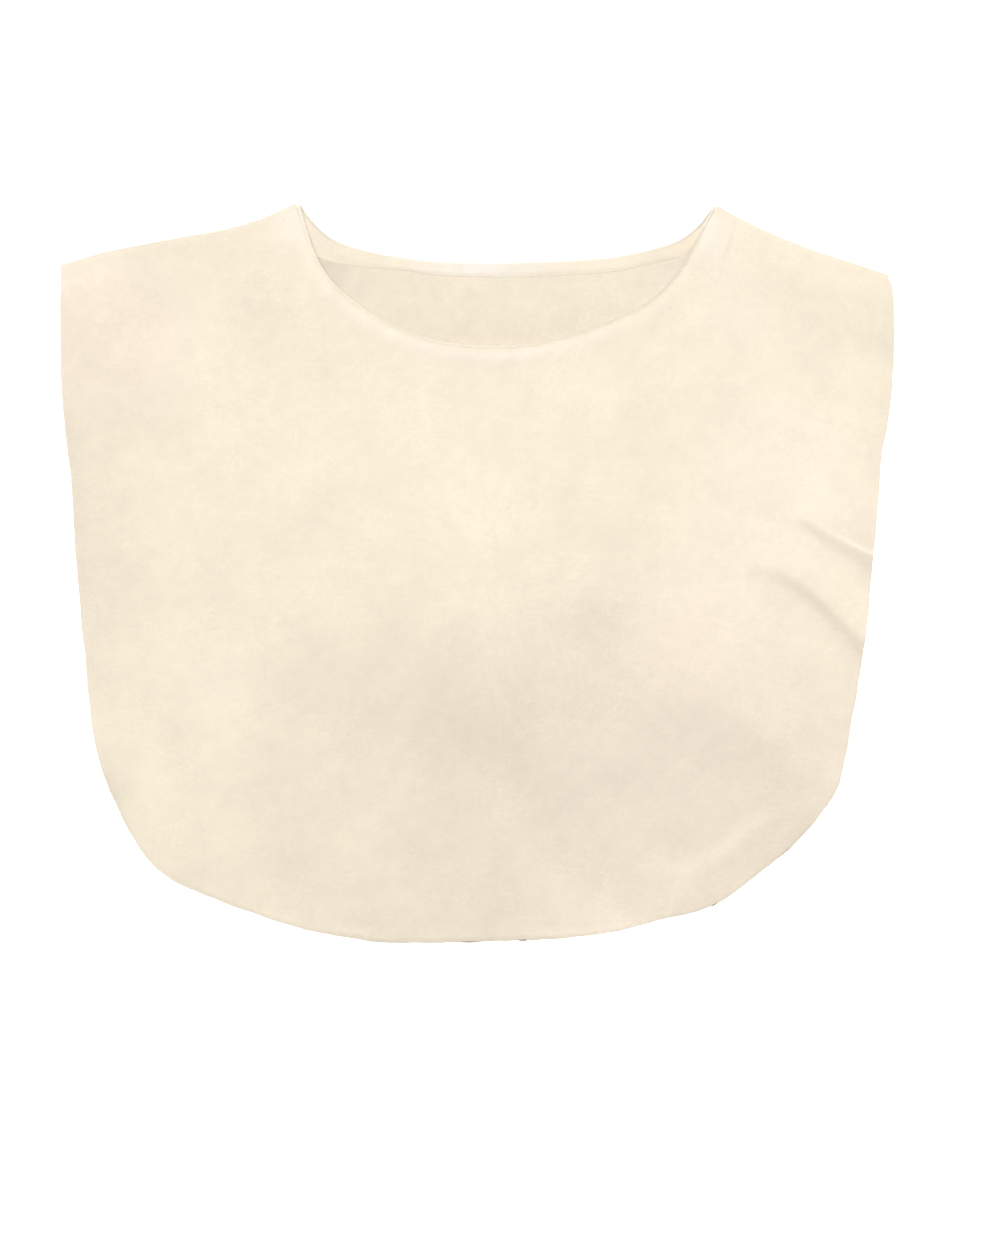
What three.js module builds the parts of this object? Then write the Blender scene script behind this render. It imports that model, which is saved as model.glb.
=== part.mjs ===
// Crew neck dickey in brushed cotton jersey, lying on a surface with its front up.
// A front panel and a back panel are sewn together at the shoulders only, and one narrow facing
// runs round the whole neckline. Millimetres, +Z up, +Y towards the neck, origin under the middle.

import * as THREE from 'three';

// Cloth and the way its layers stack
const CLOTH = 1.2; // thickness of the jersey
const CLEAR = 0.3; // between two layers that lie on each other
const LAYER = CLOTH + CLEAR; // from the middle of one layer to the middle of the next
const BACK_LEVEL = CLOTH / 2; // middle of the back panel, flat on the surface
const REST_LEVEL = BACK_LEVEL + LAYER; // middle of the front panel where it lies on the back
const SEAM_LEVEL = BACK_LEVEL + 3 * LAYER; // and at the shoulders, over two seam allowances

// Shoulder seam: each panel turns in and its allowance lies inside, against the other one
const CURL_RADIUS = LAYER / 2;
const CURL_REACH = CURL_RADIUS + CLOTH / 2;
const CURL_STEPS = 5;
const ALLOWANCE = 5.5; // flat part of the seam allowance
const ALLOWANCE_STUB = 0.4; // what is left of it where it is trimmed away beside the facing
const TRIM_START = 4.3; // the trimmed corner runs from here, counted from the panel's neckline
const TRIM_END = 7.5;

// Neck facing: a rolled edge that shows outside, and a flat leg that lies inside
const ROLL_RADIUS = CLOTH + CLEAR / 2;
const FACING_WIDTH = 7;
const LEG_START = 3.2; // the leg starts this far from the shoulder line
const LEG_FULL = 5.2; // and has its whole width here
const SETBACK = 2 * ROLL_RADIUS + CLEAR; // from the neckline to the panel that the roll covers
const TURN_RADIUS = ROLL_RADIUS + CLEAR / 2; // the roll's turn over the shoulder
const TURN_STEPS = 4;

// Plan of the garment as it lies
const LEFT_NECK_POINT = { x: -83.4, y: 173.6 };
const RIGHT_NECK_POINT = { x: 112, y: 172.4 };
const LEFT_SHOULDER_TIP = { x: -195.3, y: 144.8 };
const RIGHT_SHOULDER_TIP = { x: 194.6, y: 140.2 };
const LEFT_SHOULDER = [
  { x: -92.4, y: 170.1 },
  { x: -106, y: 165 },
  { x: -139.4, y: 158.4 },
  { x: -177, y: 150.4 },
];
const RIGHT_SHOULDER = [
  { x: 121, y: 168 },
  { x: 133.2, y: 162.2 },
  { x: 152, y: 154.2 },
  { x: 172, y: 147.2 },
];
const NECKLINE = [
  { x: -80.5, front: 163, back: 168.8 },
  { x: -76, front: 150.4, back: 163.3 },
  { x: -70.4, front: 140.1, back: 158.2 },
  { x: -63, front: 131.8, back: 154.1 },
  { x: -47.2, front: 120.4, back: 149.8 },
  { x: -20.3, front: 109.5, back: 145.9 },
  { x: 4, front: 106.5, back: 145.2 },
  { x: 18, front: 106.7, back: 145.3 },
  { x: 40.3, front: 111, back: 146 },
  { x: 64.6, front: 119.4, back: 147.9 },
  { x: 82.6, front: 129, back: 151.5 },
  { x: 95.6, front: 143.4, back: 155.9 },
  { x: 103.5, front: 157.5, back: 161.8 },
  { x: 108.2, front: 165.9, back: 167.2 },
];
const SIDES = [
  { y: 128, left: -196.2, right: 195.9 },
  { y: 105, left: -196.2, right: 196.2 },
  { y: 81, left: -194.8, right: 194.8 },
  { y: 46, left: -191, right: 190.2 },
  { y: 11, left: -188.7, right: 186.4 },
  { y: -36, left: -184.5, right: 181.7 },
  { y: -83, left: -178.8, right: 174.1 },
  { y: -107, left: -170.4, right: 166.1 },
  { y: -130, left: -158.2, right: 148.5 },
];
const HEM = [
  { x: -146.9, y: -141.9 },
  { x: -122, y: -153.7 },
  { x: -78.3, y: -167.8 },
  { x: -22, y: -174 },
  { x: 35, y: -172.5 },
  { x: 76.4, y: -165.4 },
  { x: 114.9, y: -153.7 },
  { x: 132.5, y: -142.5 },
];
const BACK_INSET = 1.5; // the back panel's edge lies this far inside the front's

// Height of the front panel over the back one
const LOFT = 9; // at the middle of the neckline, where the facing holds it up
const SEAM_FLAT = 8; // the shoulder's height runs in this far from the seam
const SEAM_SLOPE = 45; // and has gone this far from it
const SWELLS = [
  { name: 'middle of the chest', x: -12, y: 34, reach: 42, lift: 1.1 },
  { name: 'below the chest', x: 40, y: -22, reach: 40, lift: -0.9 },
  { name: 'left of the waist', x: -112, y: -58, reach: 38, lift: 1.3 },
  { name: 'over the hem', x: -48, y: -114, reach: 38, lift: 1.1 },
  { name: 'left side', x: -166, y: 6, reach: 34, lift: 0.8 },
  { name: 'right side', x: 172, y: 22, reach: 36, lift: 1.6 },
  { name: 'below the left shoulder', x: -92, y: 122, reach: 30, lift: 0.8 },
  { name: 'right of the waist', x: 116, y: -66, reach: 34, lift: 0.9 },
];
const FOLDS = [
  { name: 'upper crease', x0: 150, y0: 26, x1: 192, y1: 8, bow: 1.5, width: 3.6, lift: 2.4 },
  { name: 'lower crease', x0: 138, y0: 6, x1: 186, y1: -30, bow: 4, width: 4.5, lift: 2.2 },
  { name: 'hem ridge', x0: 96, y0: -138, x1: 130, y1: -112, bow: -3, width: 5, lift: 1.3 },
];
const FOLD_RISE = { from: -0.25, to: 0.35 }; // shares of a fold's length over which it grows
const FOLD_FALL = { from: 1.1, to: 1.5 }; // and past its end, over which it dies away
const DIP_ASIDE = 1.8; // the dip beside a fold, in widths from its crest
const DIP_SHARE = 0.45; // and its depth, as a share of the fold's lift

// Grid of each panel: columns follow the edge and rows go from the neckline to it
const FRONT_COLUMNS = 68;
const FRONT_ROWS = 23;
const BACK_COLUMNS = 36;
const BACK_ROWS = 7;
const ROW_EASE = 1.35;
const CLOSE_COLUMNS = [
  { name: 'left corner of the hem', at: 0.33, spread: 0.07, more: 0.8 },
  { name: 'right corner of the hem', at: 0.67, spread: 0.07, more: 0.8 },
  { name: 'creases', at: 0.855, spread: 0.06, more: 2.2 },
];
const FACING_FRONT_STEPS = 40;
const FACING_BACK_STEPS = 28;
const SHOULDER_KNOTS = 6;
const ARC_DIVISIONS = 600;

// Looks
const CREAM = new THREE.Color(0.92, 0.82, 0.665);
const PALE_CREAM = new THREE.Color(0.94, 0.85, 0.7);
const CLOTH_ROUGHNESS = 0.95;

const evenSteps = (count) => Array.from({ length: count + 1 }, (_, k) => k / count);
const smooth = (from, to, at) => THREE.MathUtils.smoothstep(at, from, to);
const bell = (distance, width) => Math.exp(-((distance / width) ** 2));

function curveThrough(rows) {
  const points = rows.map(({ x, y }) => new THREE.Vector3(x, y, 0));
  const curve = new THREE.CatmullRomCurve3(points, false, 'centripetal');
  curve.arcLengthDivisions = ARC_DIVISIONS;
  return curve;
}

const neckRows = (side) => NECKLINE.map((row) => ({ x: row.x, y: row[side] }));
const frontNeckline = curveThrough([LEFT_NECK_POINT, ...neckRows('front'), RIGHT_NECK_POINT]);
const backNeckline = curveThrough([LEFT_NECK_POINT, ...neckRows('back'), RIGHT_NECK_POINT]);
const edge = curveThrough([
  LEFT_SHOULDER_TIP,
  ...SIDES.map(({ y, left }) => ({ x: left, y })),
  ...HEM,
  ...SIDES.map(({ y, right }) => ({ x: right, y })).reverse(),
  RIGHT_SHOULDER_TIP,
]);

// Point of a plan curve a given length along it, moved sideways to the right of its run.
function besideCurve(curve, along, aside) {
  const share = THREE.MathUtils.clamp(along / curve.getLength(), 0, 1);
  const run = curve.getTangentAt(share);
  return curve.getPointAt(share).add(new THREE.Vector3(run.y, -run.x, 0).multiplyScalar(aside));
}

// Four sides of a panel in plan: neckline, edge, and a shoulder line between them at each end.
function panelPlan(neckline, inset) {
  const neckLength = neckline.getLength() - 2 * CURL_REACH;
  const edgeLength = edge.getLength() - 2 * CURL_REACH;
  const inner = (u) => besideCurve(neckline, CURL_REACH + u * neckLength, SETBACK);
  const outer = (u) => besideCurve(edge, CURL_REACH + u * edgeLength, -inset);
  const shoulder = (rows, u, aside) => {
    const line = curveThrough(rows);
    const length = line.getLength();
    const knots = evenSteps(SHOULDER_KNOTS).slice(1, -1).map((share) => besideCurve(line, share * length, aside));
    return curveThrough([inner(u), ...knots, outer(u)]);
  };
  const left = shoulder([LEFT_NECK_POINT, ...LEFT_SHOULDER, LEFT_SHOULDER_TIP], 0, -CURL_REACH);
  const right = shoulder([RIGHT_NECK_POINT, ...RIGHT_SHOULDER, RIGHT_SHOULDER_TIP], 1, CURL_REACH);
  return { inner, outer, left, right };
}

// Coons patch through the four sides.
function planPoint(plan, u, v) {
  const across = plan.left.getPointAt(v).lerp(plan.right.getPointAt(v), u);
  const down = plan.inner(u).lerp(plan.outer(u), v);
  const neckChord = plan.inner(0).lerp(plan.inner(1), u);
  const edgeChord = plan.outer(0).lerp(plan.outer(1), u);
  return across.add(down).sub(neckChord.lerp(edgeChord, v));
}

// Height that one fold adds: a ridge along its bowed crest, with a dip on its lower side.
function foldHeight(fold, x, y) {
  const run = new THREE.Vector2(fold.x1 - fold.x0, fold.y1 - fold.y0);
  const length = run.length();
  run.normalize();
  const along = ((x - fold.x0) * run.x + (y - fold.y0) * run.y) / length;
  const aside = (y - fold.y0) * run.x - (x - fold.x0) * run.y - fold.bow * 4 * along * (1 - along);
  const grown = smooth(FOLD_RISE.from, FOLD_RISE.to, along);
  const dying = smooth(FOLD_FALL.from, FOLD_FALL.to, along);
  const ridge = bell(aside, fold.width);
  const dip = bell(aside + DIP_ASIDE * fold.width, fold.width);
  return fold.lift * grown * (1 - dying) * (ridge - DIP_SHARE * dip);
}

// Middle of the front panel: it rests on the back, rises to the shoulder seams and to the
// neckline, and carries the swells and folds wherever there is room for them under it.
function levelOfFront(plan, u, v) {
  const point = planPoint(plan, u, v);
  const toLeft = point.distanceTo(plan.left.getPointAt(v));
  const toRight = point.distanceTo(plan.right.getPointAt(v));
  const seamDistance = Math.min(toLeft, toRight);
  const seam = (SEAM_LEVEL - REST_LEVEL) * (1 - smooth(SEAM_FLAT, SEAM_SLOPE, seamDistance));
  const across = 1 - (2 * u - 1) ** 4;
  const loft = LOFT * across * Math.cos((Math.PI * v) / 2) ** 2 * smooth(0, SEAM_SLOPE, seamDistance);
  const inland = smooth(SEAM_FLAT, SEAM_SLOPE, seamDistance);
  let relief = 0;
  for (const swell of SWELLS) {
    relief += swell.lift * bell(Math.hypot(point.x - swell.x, point.y - swell.y), swell.reach);
  }
  for (const fold of FOLDS) {
    relief += foldHeight(fold, point.x, point.y);
  }
  return Math.max(REST_LEVEL, REST_LEVEL + seam + loft + relief * inland);
}

function solid(points, index) {
  const position = points.flatMap((point) => [point.x, point.y, point.z]);
  const geometry = new THREE.BufferGeometry();
  geometry.setAttribute('position', new THREE.Float32BufferAttribute(position, 3));
  geometry.setIndex(index);
  geometry.computeVertexNormals();
  return geometry;
}

// Closed loop of rings of the same number of points, each ring joined to the next one.
function joinRings(rings) {
  const size = rings[0].length;
  const index = [];
  for (let i = 0; i < rings.length; i += 1) {
    const near = i * size;
    const far = ((i + 1) % rings.length) * size;
    for (let k = 0; k < size; k += 1) {
      const next = (k + 1) % size;
      index.push(near + k, far + k, far + next, near + k, far + next, near + next);
    }
  }
  return solid(rings.flat(), index);
}

// Wall of cloth on both sides of a grid of points, grid[column][row], closed by a rim.
function clothWall(grid) {
  const columns = grid.length;
  const rows = grid[0].length;
  const normalAt = (i, j) => {
    const alongColumns = grid[Math.min(i + 1, columns - 1)][j].clone().sub(grid[Math.max(i - 1, 0)][j]);
    const alongRows = grid[i][Math.min(j + 1, rows - 1)].clone().sub(grid[i][Math.max(j - 1, 0)]);
    return alongRows.cross(alongColumns).normalize();
  };
  const skin = (offset) =>
    grid.flatMap((column, i) => column.map((point, j) => point.clone().addScaledVector(normalAt(i, j), offset)));
  const belowStart = columns * rows;
  const index = [];
  const quad = (a, b, c, d) => index.push(a, b, c, a, c, d);
  for (let i = 0; i < columns - 1; i += 1) {
    for (let j = 0; j < rows - 1; j += 1) {
      const corners = [i * rows + j, i * rows + j + 1, (i + 1) * rows + j + 1, (i + 1) * rows + j];
      quad(...corners);
      quad(...corners.map((corner) => corner + belowStart).reverse());
    }
  }
  const upTo = (count) => Array.from({ length: count }, (_, k) => k);
  const rim = [
    ...upTo(rows - 1),
    ...upTo(columns - 1).map((i) => i * rows + rows - 1),
    ...upTo(rows - 1).map((j) => columns * rows - 1 - j),
    ...upTo(columns - 1).map((i) => (columns - 1 - i) * rows),
  ];
  rim.forEach((corner, k) => {
    const next = rim[(k + 1) % rim.length];
    quad(next, corner, corner + belowStart, next + belowStart);
  });
  return solid([...skin(CLOTH / 2), ...skin(-CLOTH / 2)], index);
}

// Columns past a shoulder line: the cloth turns over the seam towards the other panel (turn is -1
// for the front, which turns down, and 1 for the back), and the allowance runs back inside.
function seamColumns(line, hand, rows, level, turn) {
  const column = (reach, rise) =>
    rows.map((v) => {
      const run = line.getTangentAt(v);
      const outward = new THREE.Vector3(run.y, -run.x, 0).multiplyScalar(hand);
      return line.getPointAt(v).addScaledVector(outward, reach(v)).setZ(level + turn * rise);
    });
  const full = (v) => smooth(TRIM_START, TRIM_END, v * line.getLength());
  const columns = evenSteps(CURL_STEPS)
    .slice(1)
    .map((share) => {
      const angle = Math.PI * share;
      return column(() => CURL_RADIUS * Math.sin(angle), CURL_RADIUS * (1 - Math.cos(angle)));
    });
  columns.push(column((v) => -THREE.MathUtils.lerp(ALLOWANCE_STUB, ALLOWANCE, full(v)), 2 * CURL_RADIUS));
  return columns;
}

// Grid of a whole panel: seam columns, body columns, seam columns.
function panelGrid(plan, rows, body, level, turn) {
  const left = seamColumns(plan.left, 1, rows, level, turn).reverse();
  const right = seamColumns(plan.right, -1, rows, level, turn);
  return [...left, ...body, ...right];
}

// Rows stand at the neckline and at both ends of the allowance's trimmed corner, and then run
// down to the edge, closer together towards it.
function rowShares(plan, count) {
  const length = plan.left.getLength();
  const start = TRIM_END / length;
  const down = evenSteps(count - 2).map((share) => start + (1 - start) * (1 - (1 - share) ** ROW_EASE));
  return [0, TRIM_START / length, ...down];
}

// Columns stand closer at the places in CLOSE_COLUMNS.
function columnShares(count) {
  const density = (u) => CLOSE_COLUMNS.reduce((sum, row) => sum + row.more * bell(u - row.at, row.spread), 1);
  const fine = evenSteps(ARC_DIVISIONS);
  const passed = [0];
  for (let k = 1; k <= ARC_DIVISIONS; k += 1) {
    passed.push(passed[k - 1] + (density(fine[k - 1]) + density(fine[k])) / 2);
  }
  const inside = evenSteps(count).slice(1, -1).map((share) => {
    const wanted = share * passed[ARC_DIVISIONS];
    const k = passed.findIndex((value) => value > wanted);
    return THREE.MathUtils.mapLinear(wanted, passed[k - 1], passed[k], fine[k - 1], fine[k]);
  });
  return [0, ...inside, 1];
}

function frontPanel() {
  const plan = panelPlan(frontNeckline, 0);
  const rows = rowShares(plan, FRONT_ROWS);
  const body = columnShares(FRONT_COLUMNS).map((u) =>
    rows.map((v) => planPoint(plan, u, v).setZ(levelOfFront(plan, u, v))),
  );
  return clothWall(panelGrid(plan, rows, body, SEAM_LEVEL, -1));
}

function backPanel() {
  const plan = panelPlan(backNeckline, BACK_INSET);
  const rows = rowShares(plan, BACK_ROWS);
  const body = evenSteps(BACK_COLUMNS).map((u) => rows.map((v) => planPoint(plan, u, v).setZ(BACK_LEVEL)));
  return clothWall(panelGrid(plan, rows, body, BACK_LEVEL, 1));
}

// Section of the facing: how far each point lies into the panel from the neckline, and how far
// out from the middle of the roll. Where the leg is trimmed away only the round roll is left.
function facingSection(leg) {
  const width = THREE.MathUtils.lerp(2 * ROLL_RADIUS, FACING_WIDTH, leg);
  const onRoll = (degrees) => {
    const angle = THREE.MathUtils.degToRad(degrees);
    return { into: ROLL_RADIUS * (1 + Math.cos(angle)), out: ROLL_RADIUS * Math.sin(angle) };
  };
  const between = (from, to) => ({
    into: THREE.MathUtils.lerp(from.into, to.into, leg),
    out: THREE.MathUtils.lerp(from.out, to.out, leg),
  });
  return [
    ...[15, 60, 105, 150, 195, 240].map(onRoll),
    between(onRoll(275), { into: ROLL_RADIUS, out: -ROLL_RADIUS }),
    between(onRoll(305), { into: width, out: -ROLL_RADIUS }),
    between(onRoll(340), { into: width, out: CLOTH - ROLL_RADIUS }),
    between(onRoll(358), { into: 2 * ROLL_RADIUS, out: CLOTH - ROLL_RADIUS }),
  ];
}

// One ring of the facing: its place on the neckline, the direction into the panel, the outward
// direction, how much of the leg is there, and how far the leg's free edge is raised.
function facingRing({ place, into, outward, leg, raise }) {
  return facingSection(leg).map((at) => {
    const share = Math.max(0, at.into - 2 * ROLL_RADIUS) / (FACING_WIDTH - 2 * ROLL_RADIUS);
    const point = place.clone().addScaledVector(into, at.into - ROLL_RADIUS).addScaledVector(outward, at.out);
    point.z += raise * share;
    return point;
  });
}

// Direction into the panel beside a point of a neckline.
function intoPanel(neckline, along) {
  const run = neckline.getTangentAt(along / neckline.getLength());
  return new THREE.Vector3(run.y, -run.x, 0);
}

// Rings along one neckline, from the left shoulder to the right one.
function neckRings(neckline, plan, panelLevel, outwardZ, count) {
  const length = neckline.getLength();
  const end = CURL_REACH + TURN_RADIUS;
  return evenSteps(count).map((share) => {
    const along = THREE.MathUtils.lerp(end, length - end, share);
    const u = (along - CURL_REACH) / (length - 2 * CURL_REACH);
    const fromSeam = Math.min(along, length - along);
    const into = intoPanel(neckline, along);
    const place = besideCurve(neckline, along, ROLL_RADIUS);
    const rollLevel = panelLevel(plan, u, 0);
    const legLevel = panelLevel(plan, u, (FACING_WIDTH - SETBACK) / plan.inner(u).distanceTo(plan.outer(u)));
    place.z = rollLevel - outwardZ * (ROLL_RADIUS - CLOTH / 2);
    const outward = new THREE.Vector3(0, 0, outwardZ);
    return { place, into, outward, leg: smooth(LEG_START, LEG_FULL, fromSeam), raise: legLevel - rollLevel };
  });
}

// Rings over a shoulder, from the front's last ring to the back's first one.
function turnRings(from, to, up) {
  return evenSteps(TURN_STEPS + 1)
    .slice(1, -1)
    .map((share) => {
      const angle = Math.PI * share;
      const part = (1 - Math.cos(angle)) / 2;
      const place = from.place.clone().lerp(to.place, part);
      const into = from.into.clone().lerp(to.into, part).normalize();
      const outward = from.outward.clone().multiplyScalar(Math.cos(angle)).addScaledVector(up, Math.sin(angle));
      place.addScaledVector(up, TURN_RADIUS * Math.sin(angle));
      return { place, into, outward, leg: 0, raise: 0 };
    });
}

function neckFacing() {
  const frontPlan = panelPlan(frontNeckline, 0);
  const backPlan = panelPlan(backNeckline, BACK_INSET);
  const front = neckRings(frontNeckline, frontPlan, levelOfFront, 1, FACING_FRONT_STEPS);
  const back = neckRings(backNeckline, backPlan, () => BACK_LEVEL, -1, FACING_BACK_STEPS).reverse();
  const upRight = frontNeckline.getTangentAt(1);
  const upLeft = frontNeckline.getTangentAt(0).negate();
  const overRight = turnRings(front.at(-1), back[0], upRight);
  const overLeft = turnRings(back.at(-1), front[0], upLeft);
  return joinRings([...front, ...overRight, ...back, ...overLeft].map(facingRing));
}

function piece(name, geometry, color) {
  const material = new THREE.MeshStandardMaterial({ color, roughness: CLOTH_ROUGHNESS, metalness: 0 });
  const mesh = new THREE.Mesh(geometry, material);
  mesh.name = name;
  return mesh;
}

const dickey = new THREE.Group();
dickey.add(piece('front_panel', frontPanel(), CREAM));
dickey.add(piece('back_panel', backPanel(), CREAM));
dickey.add(piece('neck_facing', neckFacing(), PALE_CREAM));

export default dickey;
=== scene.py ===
# %% [markdown]
# # Crew neck dickey, laid flat
#
# A dickey is the front and back of a top, without its sleeves and sides. This one is cream brushed
# jersey: two panels that are sewn together at the shoulders, and a narrow facing round the neckline.
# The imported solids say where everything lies. This lesson dresses them. Each cloth piece is made
# again as a fine mesh with its folds, rolls and edges, then stitched, and then given its knit.

import math

import bpy
import numpy as np
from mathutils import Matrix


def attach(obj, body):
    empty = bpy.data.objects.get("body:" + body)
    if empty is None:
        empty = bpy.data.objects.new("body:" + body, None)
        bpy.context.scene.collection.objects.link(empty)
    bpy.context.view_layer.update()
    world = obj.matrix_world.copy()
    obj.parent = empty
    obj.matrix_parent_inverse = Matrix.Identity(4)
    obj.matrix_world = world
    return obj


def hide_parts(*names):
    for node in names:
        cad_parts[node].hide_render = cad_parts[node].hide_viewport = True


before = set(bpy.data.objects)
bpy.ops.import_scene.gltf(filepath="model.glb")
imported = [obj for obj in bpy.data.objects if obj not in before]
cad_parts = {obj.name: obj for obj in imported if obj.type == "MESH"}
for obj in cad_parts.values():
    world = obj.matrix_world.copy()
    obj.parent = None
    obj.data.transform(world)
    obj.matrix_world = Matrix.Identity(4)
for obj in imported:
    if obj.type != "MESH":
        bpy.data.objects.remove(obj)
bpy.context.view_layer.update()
MM = 0.001
print("packed nodes:", sorted(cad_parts))

# %% [markdown]
# ## Camera
#
# The garment was photographed from straight above, so the camera looks down along Z with +Y up in
# the frame. A long lens far away keeps the sides from showing, as in a flat-lay studio. The lens
# is worked out from the width that one pixel covers on the cloth.

# %% Camera over the garment
FRAME_HEIGHT_PIXELS = 1236
PIXEL = 0.47 * MM
FRAME_CENTRE = (11.0 * MM, -21.15 * MM)
CAMERA_HEIGHT = 2.4
CLOTH_HEIGHT = 4 * MM
SENSOR_HEIGHT = 36.0

bpy.ops.object.camera_add(location=(*FRAME_CENTRE, CAMERA_HEIGHT), rotation=(0, 0, 0))
camera = bpy.context.object
camera.name = "photo_camera"
camera.data.sensor_fit = "VERTICAL"
camera.data.sensor_height = SENSOR_HEIGHT
camera.data.lens = SENSOR_HEIGHT * (CAMERA_HEIGHT - CLOTH_HEIGHT) / (FRAME_HEIGHT_PIXELS * PIXEL)
bpy.context.scene.camera = camera
print("lens in millimetres:", round(camera.data.lens, 1))

# %% [markdown]
# ## Studio
#
# The photograph has hardly any shadow: white all round, a wide soft light from above, and a lower
# softbox beyond the neck end that lets the folds show. The floor is a disc made from a primitive,
# just under the cloth. It glows a little, like a light table, so that the cloth stands on white.

# %% Floor, world and softboxes
FLOOR_RADIUS = 14.0
FLOOR_SIDES = 96
FLOOR_DROP = 0.05 * MM
WORLD_STRENGTH = 0.115
SOFTBOXES = [  # name, elevation, azimuth, distance, size, power
    ("overhead_softbox", 75, 104, 6.0, 3.2, 268.0),
    ("neck_end_softbox", 36, 92, 6.0, 3.0, 196.0),
]

bpy.ops.mesh.primitive_circle_add(
    vertices=FLOOR_SIDES, radius=FLOOR_RADIUS, fill_type="NGON", location=(0, 0, -FLOOR_DROP)
)
floor = bpy.context.object
floor.name = "studio_floor"

for name, elevation, azimuth, distance, size, power in SOFTBOXES:
    rise, turn = math.radians(elevation), math.radians(azimuth)
    reach = distance * math.cos(rise)
    bpy.ops.object.light_add(
        type="AREA",
        location=(reach * math.cos(turn), reach * math.sin(turn), distance * math.sin(rise)),
        rotation=(math.pi / 2 - rise, 0, turn + math.pi / 2),
    )
    softbox = bpy.context.object
    softbox.name = name
    softbox.data.size = size
    softbox.data.energy = power

world = bpy.data.worlds.new("white_studio")
world.use_nodes = True
background = world.node_tree.nodes["Background"].inputs
background["Color"].default_value = (1, 1, 1, 1)
background["Strength"].default_value = WORLD_STRENGTH
bpy.context.scene.world = world
bpy.context.scene.view_settings.view_transform = "Standard"

# %% [markdown]
# ## Tools for the patterns
#
# The panels are cut from a pattern, so the plan of the garment is a few smooth lines. A line runs
# through its points as a centripetal Catmull-Rom curve, which doesn't overshoot at a corner, and it
# is measured by its length. Soft steps, bells and seeded noise shape everything that is laid on
# the plan, and most of them are rows in tables.

# %% Steps, bells, noise and lines
LINE_STEPS = 60
NOISE_CELLS = 64


def smooth(start, end, at):
    share = np.clip((at - start) / (end - start), 0, 1)
    return share * share * (3 - 2 * share)


def bell(distance, width):
    return np.exp(-((distance / width) ** 2))


def mixed(first, second, share):
    return first + (second - first) * share


def unit(vectors):
    return vectors / np.linalg.norm(vectors, axis=-1, keepdims=True)


def ripple(x, y, reach, seed):
    """Seeded noise from -1 to 1, with swells about as wide as reach."""
    table = np.random.default_rng(seed).uniform(-1, 1, (NOISE_CELLS, NOISE_CELLS))
    column, row = np.floor(x / reach).astype(int), np.floor(y / reach).astype(int)
    across, along = smooth(0, 1, x / reach - column), smooth(0, 1, y / reach - row)

    def knot(right, up):
        return table[(column + right) % NOISE_CELLS, (row + up) % NOISE_CELLS]

    return mixed(mixed(knot(0, 0), knot(1, 0), across), mixed(knot(0, 1), knot(1, 1), across), along)


def waver(along, row):
    """Seeded noise along a line. The row has its reach, height and seed."""
    reach, height, seed = row
    return height * ripple(along, 0 * along, reach, seed)


def by_place(table, at):
    """Value at a place, between the rows of a table of places in millimetres and values."""
    places, values = np.array(table).T
    return np.interp(at, places * MM, values)


def patches(x, y, rows):
    """Sum of soft ovals. A row has x, y, reach across, reach along and height."""
    total = 0
    for middle_x, middle_y, across, along, height in rows:
        distance = np.hypot((x - middle_x * MM) / across, (y - middle_y * MM) / along)
        total = total + height * bell(distance, MM)
    return total


def bells_along(line, along, rows):
    """Sum of soft bumps along a line. A row has its share of the line's length, reach and height."""
    return sum(height * bell(along - share * line.length, reach * MM) for share, reach, height in rows)


class Line:
    """A smooth curve in plan through a few points, measured by its length."""

    def __init__(self, rows):
        knots = [np.array(row, float) for row in rows]
        knots = [2 * knots[0] - knots[1], *knots, 2 * knots[-1] - knots[-2]]
        spans = [self.span(*knots[k : k + 4]) for k in range(len(knots) - 3)]
        self.points = np.vstack([*spans, knots[-2:-1]])
        steps = np.linalg.norm(np.diff(self.points, axis=0), axis=1)
        self.passed = np.concatenate([[0], np.cumsum(steps)])
        self.length = self.passed[-1]
        self.runs = unit(np.gradient(self.points, self.passed, axis=0))

    @staticmethod
    def span(before, start, end, after):
        lead = math.sqrt(np.linalg.norm(start - before))
        middle = math.sqrt(np.linalg.norm(end - start))
        trail = math.sqrt(np.linalg.norm(after - end))
        leave = ((start - before) / lead - (end - before) / (lead + middle)) * middle + (end - start)
        arrive = (end - start) + ((after - end) / trail - (after - start) / (middle + trail)) * middle
        share = np.linspace(0, 1, LINE_STEPS, endpoint=False)[:, None]
        bend = (-3 * start + 3 * end - 2 * leave - arrive) * share**2
        return start + leave * share + bend + (2 * start - 2 * end + leave + arrive) * share**3

    def spread(self, values, along):
        return np.stack([np.interp(along, self.passed, values[:, k]) for k in (0, 1)], axis=-1)

    def at(self, along):
        return self.spread(self.points, along)

    def run(self, along):
        return self.spread(self.runs, along)

    def right(self, along):
        """Direction to the right of the line's run."""
        run = self.run(along)
        return np.stack([run[..., 1], -run[..., 0]], axis=-1)

    def beside(self, along, aside):
        return self.at(along) + self.right(along) * np.asarray(aside)[..., None]


# %% [markdown]
# ## The pattern
#
# These are the sizes that the solids were made from, but for a slimmer roll and neck points that
# stand 1 mm further in: the shoulder, neckline, side and hem lines as the garment lies, and the
# heights at which its layers rest on each other. Places, reaches and heights in the tables are in
# millimetres and are scaled to metres as they are read.

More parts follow.
